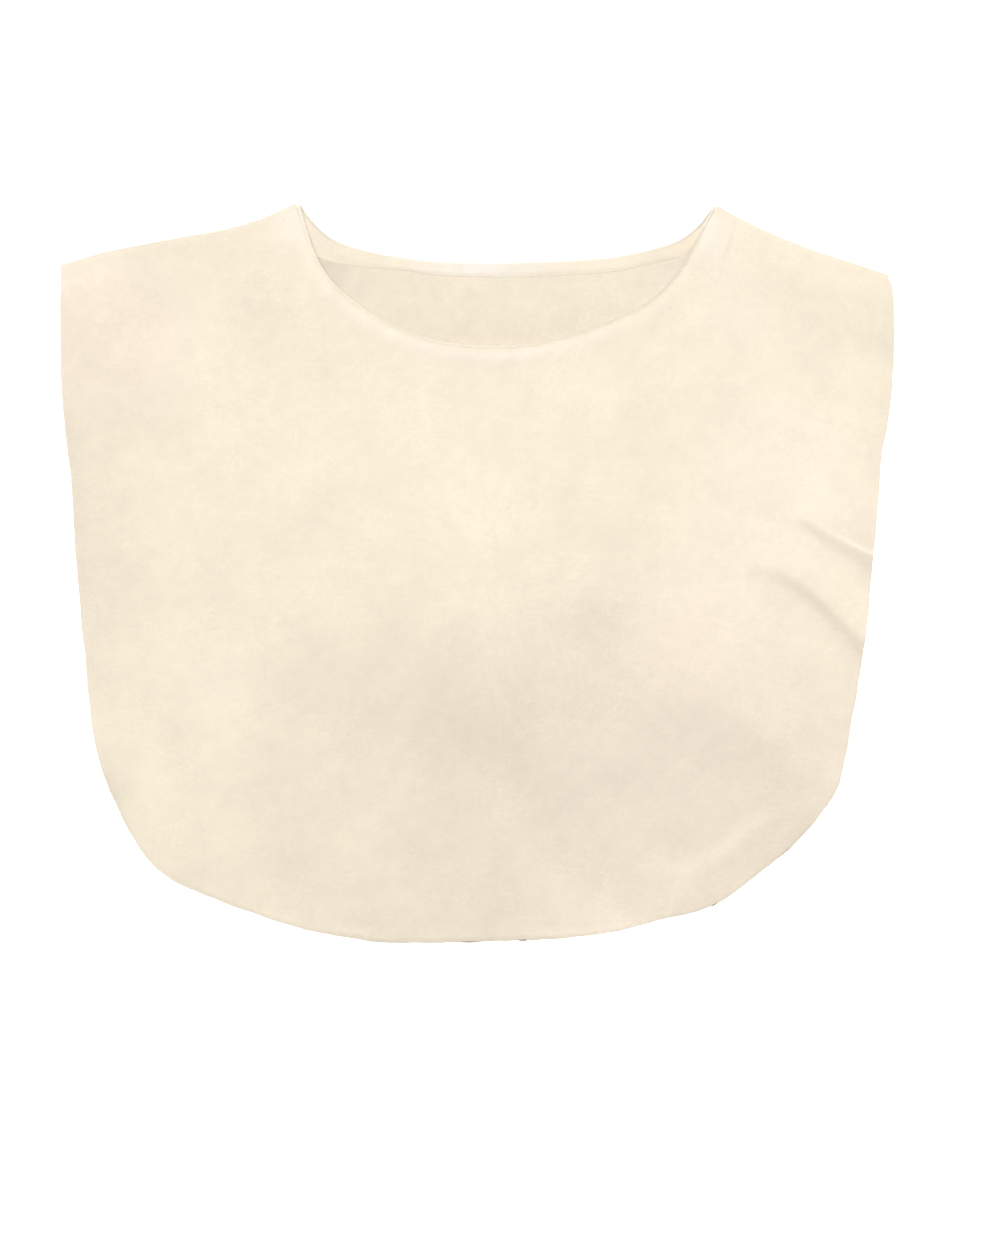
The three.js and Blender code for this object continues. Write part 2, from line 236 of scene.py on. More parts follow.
# %% Sizes of the pattern and its layers
CLOTH = 1.2 * MM
CLEAR = 0.3 * MM
LAYER = CLOTH + CLEAR
BACK_LEVEL = CLOTH / 2
REST_LEVEL = BACK_LEVEL + LAYER
SEAM_LEVEL = BACK_LEVEL + 3 * LAYER
CURL_RADIUS = LAYER / 2
CURL_REACH = CURL_RADIUS + CLOTH / 2
ALLOWANCE = 5.5 * MM
ALLOWANCE_STUB = 0.4 * MM
TRIM_START = 4.3 * MM
TRIM_END = 7.5 * MM
ROLL_HALF_WIDTH = 1.0 * MM
ROLL_HALF_HEIGHT = 0.95 * MM
FACING_CLOTH = 0.3 * MM
FACING_WIDTH = 7 * MM
LEG_START = 3.2 * MM
LEG_FULL = 5.2 * MM
SETBACK = 2 * ROLL_HALF_WIDTH + CLEAR / 2
TURN_RADIUS = 1.5 * MM
LOFT = 9 * MM
SEAM_FLAT = 8 * MM
SEAM_SLOPE = 45 * MM

LEFT_NECK_POINT = (-83.4, 174.6)
RIGHT_NECK_POINT = (112, 173.4)
LEFT_SHOULDER_TIP = (-195.3, 144.8)
RIGHT_SHOULDER_TIP = (194.6, 140.2)
LEFT_SHOULDER = [(-92.0, 171.4), (-106, 164.6), (-139.4, 157.9), (-177, 150.4)]
RIGHT_SHOULDER = [(121, 168.2), (133.2, 162.2), (152, 154.2), (172, 147.4)]
NECKLINE = [  # x, y of the front, y of the back
    (-80.5, 163.6, 169.8), (-76, 150.7, 164.3), (-70.4, 140.6, 159.2), (-63, 132.3, 155.1),
    (-47.2, 120.7, 150.8), (-20.3, 109.5, 146.9), (4, 106.5, 146.2), (18, 106.7, 146.3),
    (40.3, 110.7, 147), (64.6, 119, 148.9), (82.6, 128.6, 152.5), (95.6, 143.1, 156.9),
    (103.5, 157.5, 162.8), (108.2, 166.4, 168.2),
]
SIDES = [  # y, x of the left side, x of the right side
    (128, -196.2, 195.9), (105, -196.2, 196.2), (81, -194.8, 194.8), (46, -191, 190.2),
    (11, -188.7, 186.4), (-36, -184.5, 181.7), (-83, -178.8, 174.1), (-107, -170.4, 166.1),
    (-130, -158.2, 148.5),
]
HEM = [
    (-146.9, -141.9), (-122, -153.7), (-78.3, -167.8), (-22, -174), (35, -172.5), (76.4, -165.4),
    (114.9, -153.7), (132.5, -142.5),
]


def drafted(*rows):
    return Line(np.array(rows, float) * MM)


front_neckline = drafted(LEFT_NECK_POINT, *[(x, front) for x, front, _ in NECKLINE], RIGHT_NECK_POINT)
back_neckline = drafted(LEFT_NECK_POINT, *[(x, back) for x, _, back in NECKLINE], RIGHT_NECK_POINT)
edge = drafted(
    LEFT_SHOULDER_TIP,
    *[(left, y) for y, left, _ in SIDES],
    *HEM,
    *[(right, y) for y, _, right in reversed(SIDES)],
    RIGHT_SHOULDER_TIP,
)
left_shoulder = drafted(LEFT_NECK_POINT, *LEFT_SHOULDER, LEFT_SHOULDER_TIP)
right_shoulder = drafted(RIGHT_NECK_POINT, *RIGHT_SHOULDER, RIGHT_SHOULDER_TIP)
for title, line in (("front neckline", front_neckline), ("back neckline", back_neckline), ("edge", edge)):
    print(title, "in metres:", round(line.length, 3))

# %% [markdown]
# ## A panel as a patch between four lines
#
# A panel lies between its neckline, its outer edge and two shoulder lines. A Coons patch fills
# them: u runs along the edge from the left shoulder to the right one, and v runs from the neckline
# out to the edge. So the mesh's rows follow the hem, which keeps a cut edge clean. A square grid
# would be simpler to make, but would cut the hem into steps.

# %% Panel plan
SHOULDER_KNOTS = 6


class Panel:
    """Plan of one panel. inset and setback say how far inside the pattern's edge and neckline it ends."""

    def __init__(self, neckline, inset, setback):
        self.neckline = neckline
        self.inset = inset
        self.setback = setback
        self.left = self.shoulder(left_shoulder, 0.0, -CURL_REACH)
        self.right = self.shoulder(right_shoulder, 1.0, CURL_REACH)
        self.corners = [self.inner(0.0), self.inner(1.0), self.outer(0.0), self.outer(1.0)]

    def shoulder(self, line, u, aside):
        shares = np.arange(1, SHOULDER_KNOTS) / SHOULDER_KNOTS
        between = line.beside(shares * line.length, np.full(len(shares), aside))
        return Line([self.inner(u), *between, self.outer(u)])

    def neck_along(self, u):
        return CURL_REACH + u * (self.neckline.length - 2 * CURL_REACH)

    def neck_share(self, along):
        return (along - CURL_REACH) / (self.neckline.length - 2 * CURL_REACH)

    def edge_along(self, u):
        return CURL_REACH + u * (edge.length - 2 * CURL_REACH)

    def inner(self, u):
        along = self.neck_along(u)
        return self.neckline.beside(along, self.setback(along))

    def outer(self, u):
        along = self.edge_along(u)
        return edge.beside(along, -self.inset(along))

    def depth(self, u):
        return np.linalg.norm(self.outer(u) - self.inner(u), axis=-1)

    def distances(self, u, v):
        """How far a point is from the neckline and from the edge."""
        depth = self.depth(u)
        return v * depth, (1 - v) * depth

    def sides(self, v):
        return self.left.at(v * self.left.length), self.right.at(v * self.right.length)

    def at(self, u, v):
        left, right = self.sides(v)
        u, v = u[..., None], v[..., None]
        inner_left, inner_right, outer_left, outer_right = self.corners
        across = mixed(left, right, u)
        down = mixed(self.inner(u[..., 0]), self.outer(u[..., 0]), v)
        chords = mixed(mixed(inner_left, inner_right, u), mixed(outer_left, outer_right, u), v)
        return across + down - chords


# %% [markdown]
# ## How the front lies over the back
#
# The front rests on the back, climbs over the seam allowances at the shoulders, and is held up at
# the neckline by the rolled facing. On top of that come broad swells, two creases at the right
# side where the cloth was pushed together, a soft ridge over the hem, a tuck at the right end of
# the neckline, and small lifts along the edge. Each one is a row in a table, and a height is their
# sum. The creases have a steep side and a gentle side, so that they catch the light on one and
# shade the other. The upper crease and the ridge over the hem also have a painted highlight along
# their crest, lighter and paler.

# %% Tables of the relief
SWELLS = [  # x, y, reach across, reach along, lift
    (-12, 34, 42, 42, 1.1), (40, -22, 40, 40, -0.9), (-112, -58, 38, 38, 1.3), (-48, -114, 38, 38, 1.1),
    (-166, 6, 34, 34, 0.8), (172, 22, 36, 36, 1.6), (-92, 122, 30, 30, 0.8), (116, -66, 34, 34, 0.9),
]
# In a crease, shine and pale are a painted highlight along its crest; pale makes it paler as well as
# lighter.
CREASES = [  # widths to the left and right of the crest, and where along it the crease grows and fades
    # the upper crease at the right side
    dict(
        crest=[
            (147, 26.8), (151.6, 25.9), (157.7, 24), (163.8, 20.3), (169.9, 17.1), (180.2, 11.9), (196, 5),
        ],
        left=15.0, right=(2.8, 7.2), lift=1.25, grows=(-0.02, 0.22), fades=(1.0, 1.4),
        shine=(0.12, 1.1, 0.25, 0.7), pale=3.0,
    ),
    # the lower crease
    dict(
        crest=[
            (124, 4), (130, 3.6), (139.5, 2.3), (146.2, 0),
            (152.1, -3.4), (162.5, -11.2), (172.3, -21), (190, -38.5),
        ],
        left=12.0, right=(4.4, 5.4), lift=1.65, grows=(-0.15, 0.5), fades=(0.85, 1.25),
    ),
    # the ridge over the hem
    dict(
        crest=[
            (70, -137), (86, -139), (99, -139.5), (110, -134.5),
            (119.5, -127.5), (128.5, -120), (138, -115),
        ],
        left=3.0, right=(5.0, 5.0), lift=0.3, grows=(0.1, 0.5), fades=(0.85, 1.1),
        shine=(0.075, 4.2, 0.0, 0.4), pale=0.5,
    ),
    # the tuck at the right end of the neckline
    dict(
        crest=[(112, 138), (114.4, 146.6), (117.8, 153.8), (119.6, 162), (121.4, 170)],
        left=6.0, right=(1.1, 1.0), lift=0.4, grows=(0.0, 0.6), fades=(1.0, 1.4),
    ),
]
# No painted highlight along the crest.
NO_SHINE = (0.0, 1.0, 0.0, 1.0)  # how much lighter, how wide, and where along it this grows
CREST_STEP = 4
CREASE_REACH = 40 * MM
EDGE_LIFTS = [  # share of the edge's length, reach, lift
    (0.10, 26, 0.9), (0.205, 20, 0.7), (0.30, 22, 1.2), (0.375, 16, 0.6), (0.455, 24, 1.0),
    (0.55, 20, 0.7), (0.62, 18, 1.1), (0.70, 22, 0.8), (0.805, 18, 1.3), (0.915, 26, 0.8),
]
EDGE_LIFT_INLAND = 24 * MM
REST_EASE = 0.25 * MM
BROAD_RIPPLE = (46 * MM, 0.30 * MM, 0)  # reach, height, seed
SMALL_RIPPLE = (13 * MM, 0.045 * MM, 1)
RIPPLE_START = 6 * MM
NECK_BAND = 0.18 * MM
NECK_BAND_RISE = (2.2 * MM, 6.0 * MM)
NECK_BAND_FALL = (6.0 * MM, 13.0 * MM)
EDGE_BEAD = 0.11 * MM
EDGE_BEAD_INLAND = 1.7 * MM
EDGE_BEAD_WIDTH = 0.9 * MM


def creased(point, crease):
    """Height of one crease, gentle on one side of its crest and steep on the other, and the painted
    highlight along its crest.
    """
    crest = drafted(*crease["crest"])
    height, shine = np.zeros(point.shape[:-1]), np.zeros(point.shape[:-1])
    low, high = crest.points.min(axis=0) - CREASE_REACH, crest.points.max(axis=0) + CREASE_REACH
    near = np.all((point > low) & (point < high), axis=-1)
    offset = point[near][:, None] - crest.points[::CREST_STEP]
    nearest = CREST_STEP * np.argmin(np.sum(offset**2, axis=-1), axis=-1)
    run = crest.runs[nearest]
    offset = point[near] - crest.points[nearest]
    aside = offset[:, 1] * run[:, 0] - offset[:, 0] * run[:, 1]
    beyond = offset[:, 0] * run[:, 0] + offset[:, 1] * run[:, 1]
    share = (crest.passed[nearest] + beyond) / crest.length
    right = mixed(*crease["right"], np.clip(share, 0, 1))
    fade = 1 - smooth(*crease["fades"], share)
    ridge = bell(aside, np.where(aside > 0, crease["left"], right) * MM)
    height[near] = crease["lift"] * MM * ridge * smooth(*crease["grows"], share) * fade
    lighter, width, *starts = crease.get("shine", NO_SHINE)
    shine[near] = lighter * bell(aside, width * MM) * smooth(*starts, share) * fade
    return height, shine


def front_level(panel, u, v):
    """Height of the middle of the front panel's cloth."""
    point = panel.at(u, v)
    x, y = point[..., 0], point[..., 1]
    from_seam = np.minimum(*(np.linalg.norm(point - side, axis=-1) for side in panel.sides(v)))
    from_neck, from_edge = panel.distances(u, v)
    near_seam = smooth(0, SEAM_FLAT, from_seam)
    slope = smooth(0, SEAM_SLOPE, from_seam)
    inland = smooth(SEAM_FLAT, SEAM_SLOPE, from_seam)

    seam = (SEAM_LEVEL - REST_LEVEL) * (1 - inland)
    across = 1 - (2 * u - 1) ** 4
    loft = LOFT * across * np.cos(math.pi * v / 2) ** 2 * slope
    relief = MM * patches(x, y, SWELLS)
    for reach, height, seed in (BROAD_RIPPLE, SMALL_RIPPLE):
        relief += height * smooth(0, RIPPLE_START, from_neck) * ripple(x, y, reach, seed)
    raised = seam + loft + relief * inland
    rest = REST_LEVEL + (raised + np.sqrt(raised**2 + REST_EASE**2)) / 2

    aside = from_neck + SETBACK
    band = smooth(*NECK_BAND_RISE, aside) - smooth(*NECK_BAND_FALL, aside)
    rest += NECK_BAND * band * near_seam
    for crease in CREASES:
        rest += creased(point, crease)[0] * near_seam
    lifts = MM * bells_along(edge, panel.edge_along(u), EDGE_LIFTS)
    return rest + lifts * bell(from_edge, EDGE_LIFT_INLAND) * slope


# %% [markdown]
# ## A wall of cloth
#
# A sheet of cloth is a grid of points for its middle, thickened to both sides. Solidify could do
# that, but its rim would be square, and a cut edge of jersey is round. So the two skins are made
# in code and draw together towards the edge. The under skin has only every second point, which
# leaves more of the triangles for the side that shows. For that the grid needs an odd number of
# rows and of columns, so that its last ones are among every second.

# %% Wall from a grid
CURL_STEPS = 10
ALLOWANCE_STEPS = 4
SEAM_COLUMNS = CURL_STEPS + ALLOWANCE_STEPS


def grid_normals(grid):
    along_columns = np.gradient(grid, axis=0)
    along_rows = np.gradient(grid, axis=1)
    return unit(np.cross(along_rows, along_columns))


def strip_faces(index):
    """Faces of a grid of vertex numbers, turned to face along the grid's normals."""
    corners = [index[:-1, :-1], index[:-1, 1:], index[1:, 1:], index[1:, :-1]]
    return np.stack(corners, axis=-1).reshape(-1, 4)


def boundary(index):
    return np.concatenate([index[0, :-1], index[:-1, -1], index[-1, :0:-1], index[:0:-1, 0]])


def mesh_piece(name, points, faces):
    mesh = bpy.data.meshes.new(name)
    mesh.from_pydata(points.tolist(), [], faces)
    mesh.shade_smooth()
    piece = bpy.data.objects.new(name, mesh)
    bpy.context.scene.collection.objects.link(piece)
    print(name, "has", sum(len(face) - 2 for face in faces), "triangles")
    return piece


def store(piece, name, values):
    attribute = piece.data.attributes.new(name, "FLOAT", "POINT")
    attribute.data.foreach_set("value", np.asarray(values, np.float32))


def seam_padded(values):
    """Values of the body's columns, repeated over the seam columns at each end."""
    return np.pad(values, ((SEAM_COLUMNS, SEAM_COLUMNS), (0, 0)), mode="edge")


def cloth_wall(name, grid, above, below, from_neck):
    """Closed sheet round a grid. above and below give each skin's distance from it."""
    above, below, from_neck = (seam_padded(values) for values in (above, below, from_neck))
    turned = np.ones(from_neck.shape)
    turned[SEAM_COLUMNS:-SEAM_COLUMNS] = 0
    normal = grid_normals(grid)
    top = grid + normal * above[..., None]
    under = (grid - normal * below[..., None])[::2, ::2]
    top_index = np.arange(top.shape[0] * top.shape[1]).reshape(top.shape[:2])
    under_index = top_index.size + np.arange(under.shape[0] * under.shape[1]).reshape(under.shape[:2])
    faces = strip_faces(top_index).tolist() + strip_faces(under_index)[:, ::-1].tolist()
    upper_rim, lower_rim = boundary(top_index), boundary(under_index)
    for k, corner in enumerate(lower_rim):
        start, middle, end = (upper_rim[(2 * k + step) % len(upper_rim)] for step in (0, 1, 2))
        faces.append([int(n) for n in (end, middle, start, corner, lower_rim[(k + 1) % len(lower_rim)])])
    piece = mesh_piece(name, np.concatenate([top.reshape(-1, 3), under.reshape(-1, 3)]), faces)
    for attribute, values in (("from_neck", from_neck), ("turned", turned)):
        store(piece, attribute, np.concatenate([values.ravel(), values[::2, ::2].ravel()]))
    return piece


# %% [markdown]
# ## Rows, columns and shoulder turns
#
# Rows stand close together at the neckline and at the hem, where the cloth's edge is round, and
# evenly between. Columns stand closer where the hem turns a corner and where the creases are. At
# each shoulder the grid goes on: the cloth turns over the seam in a half circle, and its seam
# allowance runs back inside.

# %% Spacing of the grid
NECK_ROWS = 14
NECK_REACH = 11 * MM
HEM_ROWS = 12
HEM_REACH = 5 * MM
ROW_GROWTH = 1.8
DENSITY_STEPS = 2000
CLOSE_COLUMNS = [  # share of the edge, spread, how many more
    (0.33, 0.07, 0.8), (0.67, 0.07, 0.8), (0.855, 0.06, 2.2),
]


def row_shares(panel, u, middle_rows):
    """v for each row of each column, so that the rows keep their distances from neckline and edge."""
    depth = panel.depth(u)[:, None]
    near = NECK_REACH * (np.arange(NECK_ROWS) / (NECK_ROWS - 1)) ** ROW_GROWTH
    far = HEM_REACH * (np.arange(HEM_ROWS)[::-1] / (HEM_ROWS - 1)) ** ROW_GROWTH
    middle = np.linspace(0, 1, middle_rows + 2)[1:-1]
    between = mixed(NECK_REACH, depth - HEM_REACH, middle)
    rows = [np.broadcast_to(near, (len(u), NECK_ROWS)), between, depth - far]
    return np.concatenate(rows, axis=1) / depth


def column_shares(count, close=()):
    fine = np.linspace(0, 1, DENSITY_STEPS + 1)
    density = np.ones_like(fine)
    for at, spread, more in close:
        density += more * bell(fine - at, spread)
    passed = np.concatenate([[0], np.cumsum((density[1:] + density[:-1]) / 2)])
    return np.interp(np.linspace(0, passed[-1], count + 1), passed, fine)


def seam_columns(line, hand, rows, level, turn):
    """Columns past a shoulder line: the turn over the seam, and then the allowance inside."""
    along = rows * line.length
    step = np.arange(1, SEAM_COLUMNS + 1)[:, None]
    angle = math.pi * np.minimum(step / CURL_STEPS, 1)
    inside = np.maximum(step - CURL_STEPS, 0) / ALLOWANCE_STEPS
    reach_in = mixed(ALLOWANCE_STUB, ALLOWANCE, smooth(TRIM_START, TRIM_END, along))
    plan = line.beside(along, hand * (CURL_RADIUS * np.sin(angle) - reach_in * inside))
    return np.dstack([plan, level + turn * CURL_RADIUS * (1 - np.cos(angle)) + 0 * along])


def panel_grid(panel, u, rows, heights, level, turn):
    body = np.dstack([panel.at(u[:, None], rows), heights])
    left = seam_columns(panel.left, 1, rows[0], level, turn)
    right = seam_columns(panel.right, -1, rows[-1], level, turn)
    return np.concatenate([left[::-1], body, right])


def rounded(distance, radius, thinnest):
    """Share of the full thickness near a round edge."""
    inside = 1 - np.clip(distance / radius, 0, 1)
    return thinnest + (1 - thinnest) * np.sqrt(1 - inside**2)


# %% [markdown]
# ## Front panel
#
# The photograph shows the front's hem as a soft cut edge, not quite even, with a faint bead of
# light along it. The edge wanders by a millimetre or so, the cloth thickens a little just inside
# it, and it hangs down a little where the back panel's edge lies further in.

# %% Front panel cloth
FRONT_COLUMNS = 540
FRONT_MIDDLE_ROWS = 103
EDGE_WANDER = (17 * MM, 0.18 * MM, 11)  # reach, height, seed
EDGE_FRAY = (3.1 * MM, 0.16 * MM, 12)
BEAD_MEAN = 0.55
BEAD_WANDER = (11 * MM, 0.6, 14)
EDGE_WAVES = [  # share of the edge's length, reach, how far out
    (0.03, 22, -0.6), (0.224, 10, 0.3), (0.386, 8, -0.3), (0.425, 20, 0.5), (0.455, 12, 1.1),
    (0.515, 22, -0.95), (0.580, 11, 0.8), (0.629, 13, 1.2), (0.682, 20, -1.3), (0.726, 9, 0.9),
    (0.762, 8, -0.7), (0.830, 34, 0.5), (0.905, 12, -0.8),
]
DITCH = [  # x along the front neckline, how open the ditch beside the roll is
    (-83, 0.65), (-60, 0.7), (-46, 0.25), (-24, 0.25), (-16, 0.45), (6, 0.5), (28, 0.4), (38, 0.1),
    (80, 0.05), (112, 0.3),
]
OPEN_SETBACK = 1.85 * MM
CLOSED_SETBACK = 1.55 * MM
OPEN_ROUND = (0.5 * MM, 0.8)
CLOSED_ROUND = (0.3 * MM, 0.97)
HEM_ROUND = (0.3 * MM, 0.62)
HEM_DROOP = 0.30 * MM
HEM_DROOP_INLAND = 3.0 * MM
HEM_DROOPS = [  # x, share of the droop
    (-150, 0.5), (-125, 0.4), (-105, 0.25), (-75, 0.15), (-60, 0.7), (-10, 0.85), (35, 0.65), (46, 0.0),
    (80, 0.0), (92, 0.3), (118, 0.3), (150, 0.0),
]
CORNER_ROUND = (2.2 * MM, 1.3 * MM)
BACK_INSET = 1.5 * MM
BACK_WANDER = (34 * MM, 1.0 * MM, 13)
PEEPS = [  # share of the edge's length where the back shows under the front, reach, how much
    (0.290, 4, 0.5), (0.309, 5, 0.7), (0.443, 5, 0.9), (0.467, 10, 1.0), (0.502, 9, 1.0),
    (0.535, 8, 1.2), (0.605, 4, 0.5), (0.632, 9, 0.88), (0.717, 6, 0.7), (0.735, 3, 0.5),
]
PEEP_FRONT = 0.38 * MM
PEEP_BACK = 0.50 * MM
PEEP_MEAN = 0.65
PEEP_RAGGED = (4.2 * MM, 0.6, 15)


def ditch_at(along):
    """How open the ditch beside the roll is, along the front neckline."""
    return by_place(DITCH, front_neckline.at(along)[..., 0])


def front_setback(along):
    return mixed(CLOSED_SETBACK, OPEN_SETBACK, ditch_at(along))


def edge_wander(along):
    waves = MM * bells_along(edge, along, EDGE_WAVES)
    return waver(along, EDGE_WANDER) + waver(along, EDGE_FRAY) - waves


def peep(along):
    """How much of the back shows under the front's edge."""
    return (PEEP_MEAN + waver(along, PEEP_RAGGED)) * bells_along(edge, along, PEEPS)


def front_inset(along):
    corner = CORNER_ROUND[1] * bell(edge.length - CURL_REACH - along, CORNER_ROUND[0])
    return edge_wander(along) + PEEP_FRONT * peep(along) + corner


def back_inset(along):
    hidden = BACK_INSET + waver(along, BACK_WANDER)
    return mixed(hidden, edge_wander(along) - PEEP_BACK, np.clip(peep(along), 0, 1))


def front_panel_cloth():
    panel = Panel(front_neckline, front_inset, front_setback)
    u = column_shares(FRONT_COLUMNS, CLOSE_COLUMNS)
    rows = row_shares(panel, u, FRONT_MIDDLE_ROWS)
    from_neck, from_edge = panel.distances(u[:, None], rows)
    along = panel.edge_along(u)[:, None]
    inland = smooth(0, SEAM_FLAT, np.minimum(along, edge.length - along))

    heights = front_level(panel, u[:, None], rows)
    droop = HEM_DROOP * by_place(HEM_DROOPS, edge.at(along)[..., 0])
    heights -= droop * inland * (1 - smooth(0, HEM_DROOP_INLAND, from_edge))
    grid = panel_grid(panel, u, rows, heights, SEAM_LEVEL, -1)

    bead = EDGE_BEAD * (BEAD_MEAN + waver(along, BEAD_WANDER)) * inland
    bead = bead * bell(from_edge - EDGE_BEAD_INLAND, EDGE_BEAD_WIDTH)
    ditch = ditch_at(panel.neck_along(u))[:, None]
    neck_round = (mixed(closed, opened, ditch) for closed, opened in zip(CLOSED_ROUND, OPEN_ROUND))
    below = CLOTH / 2 * rounded(from_edge, *HEM_ROUND)
    above = below * rounded(from_neck, *neck_round) + bead
    return panel, cloth_wall("front_panel_cloth", grid, above, below, from_neck)


front_plan, front_cloth = front_panel_cloth()

# %% [markdown]
# ## Back panel
#
# The back lies flat on the table, so its height is constant. What shows is its inner side, through
# the neckline, and its cut edge, which peeps out under the front's in a few places.

# %% Back panel cloth
BACK_COLUMNS = 560
BACK_MIDDLE_ROWS = 45


def back_panel_cloth():
    panel = Panel(back_neckline, back_inset, lambda along: SETBACK + 0 * along)
    u = column_shares(BACK_COLUMNS)
    rows = row_shares(panel, u, BACK_MIDDLE_ROWS)
    from_neck, from_edge = panel.distances(u[:, None], rows)
    grid = panel_grid(panel, u, rows, np.full(rows.shape, BACK_LEVEL), BACK_LEVEL, 1)
    half = CLOTH / 2 * rounded(from_neck, *HEM_ROUND) * rounded(from_edge, *HEM_ROUND)
    return panel, cloth_wall("back_panel_cloth", grid, half, half, from_neck)


back_plan, back_cloth = back_panel_cloth()

# %% [markdown]
# ## Neck facing
#
# The facing is one strip that runs round the whole neckline. It is folded over the raw edge: the
# fold shows outside as a thin roll, and the rest, the leg, lies flat inside. So its section is a
# round roll with a flat leg, carried along the front neckline, over the right shoulder, back along
# the back neckline and over the left shoulder, as one closed ring. At the shoulders, where the two
# panels meet, the leg is trimmed away and only the roll goes over.

# %% Neck facing cloth
FACING_STEP = 0.7 * MM
TURN_STEPS = 14
ROLL_POINTS = 24
LEG_POINTS = 10
TIP_POINTS = 7
BACK_HALF_HEIGHT = 0.76 * MM
TAPER_START = 4.8 * MM
TAPER_TO = 0.2
ROLL_SQUARENESS = 2.6
OPEN_SQUARENESS = 3.0
CLOSED_SQUARENESS = 4.0
ROLL_ARC = (8, 266)
CLOSING_ARC = (270, 365)
ROLL_WANDER = (7 * MM, 0.025, 22)  # reach, height, seed
LEG_WANDER = (15 * MM, 0.35 * MM, 21)
LEG_MORE = [  # share of the back neckline, reach, millimetres
    (0.0, 14, 1.4), (0.095, 12, 3.6), (0.17, 12, 1.2), (0.28, 14, -1.0), (1.0, 12, 0.9),
]
KNUCKLE = 0.06
KNUCKLE_REACH = 4.0 * MM
TURN_LIFT = 0.1 * MM
ROLL_SHADES = [  # x, how much the roll is darker
    (-83, -0.05), (-58, -0.01), (-26, -0.06), (9, -0.035), (44, -0.11), (78, -0.11), (92, -0.13),
    (108, -0.19),
]
FLANK_SHADE = -0.22
FLANK_REACH = 30 * MM
FLANK_FADE = 1.3
EDGE_SHADES = [(0.0, 30, -0.20), (1.0, 30, -0.32)]  # share of the back neckline, reach, darker
END_SHADES = [(0.0, 14, -0.15), (0.09, 7, -0.05), (1.0, 14, -0.24)]
ROLL_ACROSS = (0.3, 1.0)  # where each shade fades, in widths of the roll from its outer side
EDGE_ACROSS = (0.1, 0.8)
FLANK_ACROSS = (0.05, 0.4)


def leg_outline(width, half_height):
    """The flat leg of one ring, from its outer face round its thin tip to its inner face."""
    reach = np.linspace(ROLL_HALF_WIDTH, width - FACING_CLOTH / 2, LEG_POINTS)
    half = FACING_CLOTH / 2 * (1 - (1 - TAPER_TO) * smooth(TAPER_START, width, reach))
    inner_face = FACING_CLOTH - half_height
    middle = inner_face - half
    turn = np.radians(np.linspace(-90, 90, TIP_POINTS))[1:-1]
    into = np.concatenate([reach, reach[-1] + half[-1] * np.cos(turn), reach[:0:-1]])
    out = np.concatenate([middle - half, middle[-1] + half[-1] * np.sin(turn), (middle + half)[:0:-1]])
    return into, out


def facing_section(leg, width, ditch, half_height):
    """Points of one ring's section: how far into the panel, and how far out of the garment."""
    angle = np.radians(np.linspace(*ROLL_ARC, ROLL_POINTS))
    power = mixed(CLOSED_SQUARENESS, OPEN_SQUARENESS, ditch)
    power = np.where(angle < math.pi / 2, power, ROLL_SQUARENESS)
    square = (np.abs(np.cos(angle)) ** power + np.abs(np.sin(angle)) ** power) ** (-1 / power)
    leg_into, leg_out = leg_outline(width, half_height)
    rest = np.radians(np.linspace(*CLOSING_ARC, len(leg_into)))
    into = np.concatenate([1 + np.cos(angle) * square, 1 + np.cos(rest)]) * ROLL_HALF_WIDTH
    out = np.concatenate([np.sin(angle) * square, np.sin(rest)]) * half_height
    into[ROLL_POINTS:] = mixed(into[ROLL_POINTS:], leg_into, leg)
    out[ROLL_POINTS:] = mixed(out[ROLL_POINTS:], leg_out, leg)
    return into, out


def neck_rings(panel, level_at, outward, half_height, ditch):
    """Places and directions of the rings along one neckline, from the left shoulder to the right."""
    line = panel.neckline
    end = CURL_REACH + TURN_RADIUS
    along = np.linspace(end, line.length - end, int(line.length / FACING_STEP))
    u = panel.neck_share(along)
    level = level_at(panel, u, 0 * u)
    leg_level = level_at(panel, u, (FACING_WIDTH - SETBACK) / panel.depth(u))
    height = level + outward * (CLOTH / 2 - half_height)
    from_end = np.minimum(along, line.length - along)
    behind = max(-outward, 0)
    return {
        "place": np.column_stack([line.beside(along, ROLL_HALF_WIDTH), height]),
        "into": np.column_stack([line.right(along), 0 * along]),
        "out": np.tile([0.0, 0.0, outward], (len(along), 1)),
        "leg": smooth(LEG_START, LEG_FULL, from_end),
        "width": FACING_WIDTH + behind * MM * bells_along(line, along, LEG_MORE),
        "ditch": ditch(along),
        "half_height": np.full(len(along), half_height),
        "raise": leg_level - level,
        "knuckle": max(outward, 0) * bell(from_end - end, KNUCKLE_REACH),
        "flank": max(outward, 0) * (1 - FLANK_FADE * bell(from_end, FLANK_REACH)),
        "edge": behind * bells_along(line, along, EDGE_SHADES),
        "end": behind * bells_along(line, along, END_SHADES),
    }


def turn_rings(start, end, up):
    """Rings over a shoulder between the last ring of one neckline and the first of the other."""
    share = np.linspace(0, 1, TURN_STEPS + 2)[1:-1, None]
    angle = math.pi * share
    part = (1 - np.cos(angle)) / 2
    still = 0 * share[:, 0]
    return {
        "place": mixed(start["place"], end["place"], part) + up * (TURN_RADIUS + TURN_LIFT) * np.sin(angle),
        "into": unit(mixed(start["into"], end["into"], part)),
        "out": start["out"] * np.cos(angle) + up * np.sin(angle),
        "width": still + FACING_WIDTH,
        "ditch": still + 1,
        "half_height": mixed(start["half_height"], end["half_height"], share[:, 0]),
        "knuckle": mixed(start["knuckle"], end["knuckle"], share[:, 0]),
        **dict.fromkeys(("leg", "raise", "flank", "edge", "end"), still),
    }


def one_ring(rings, k):
    return {key: value[k] for key, value in rings.items()}


def flat_level(panel, u, v):
    return np.full(u.shape, BACK_LEVEL)


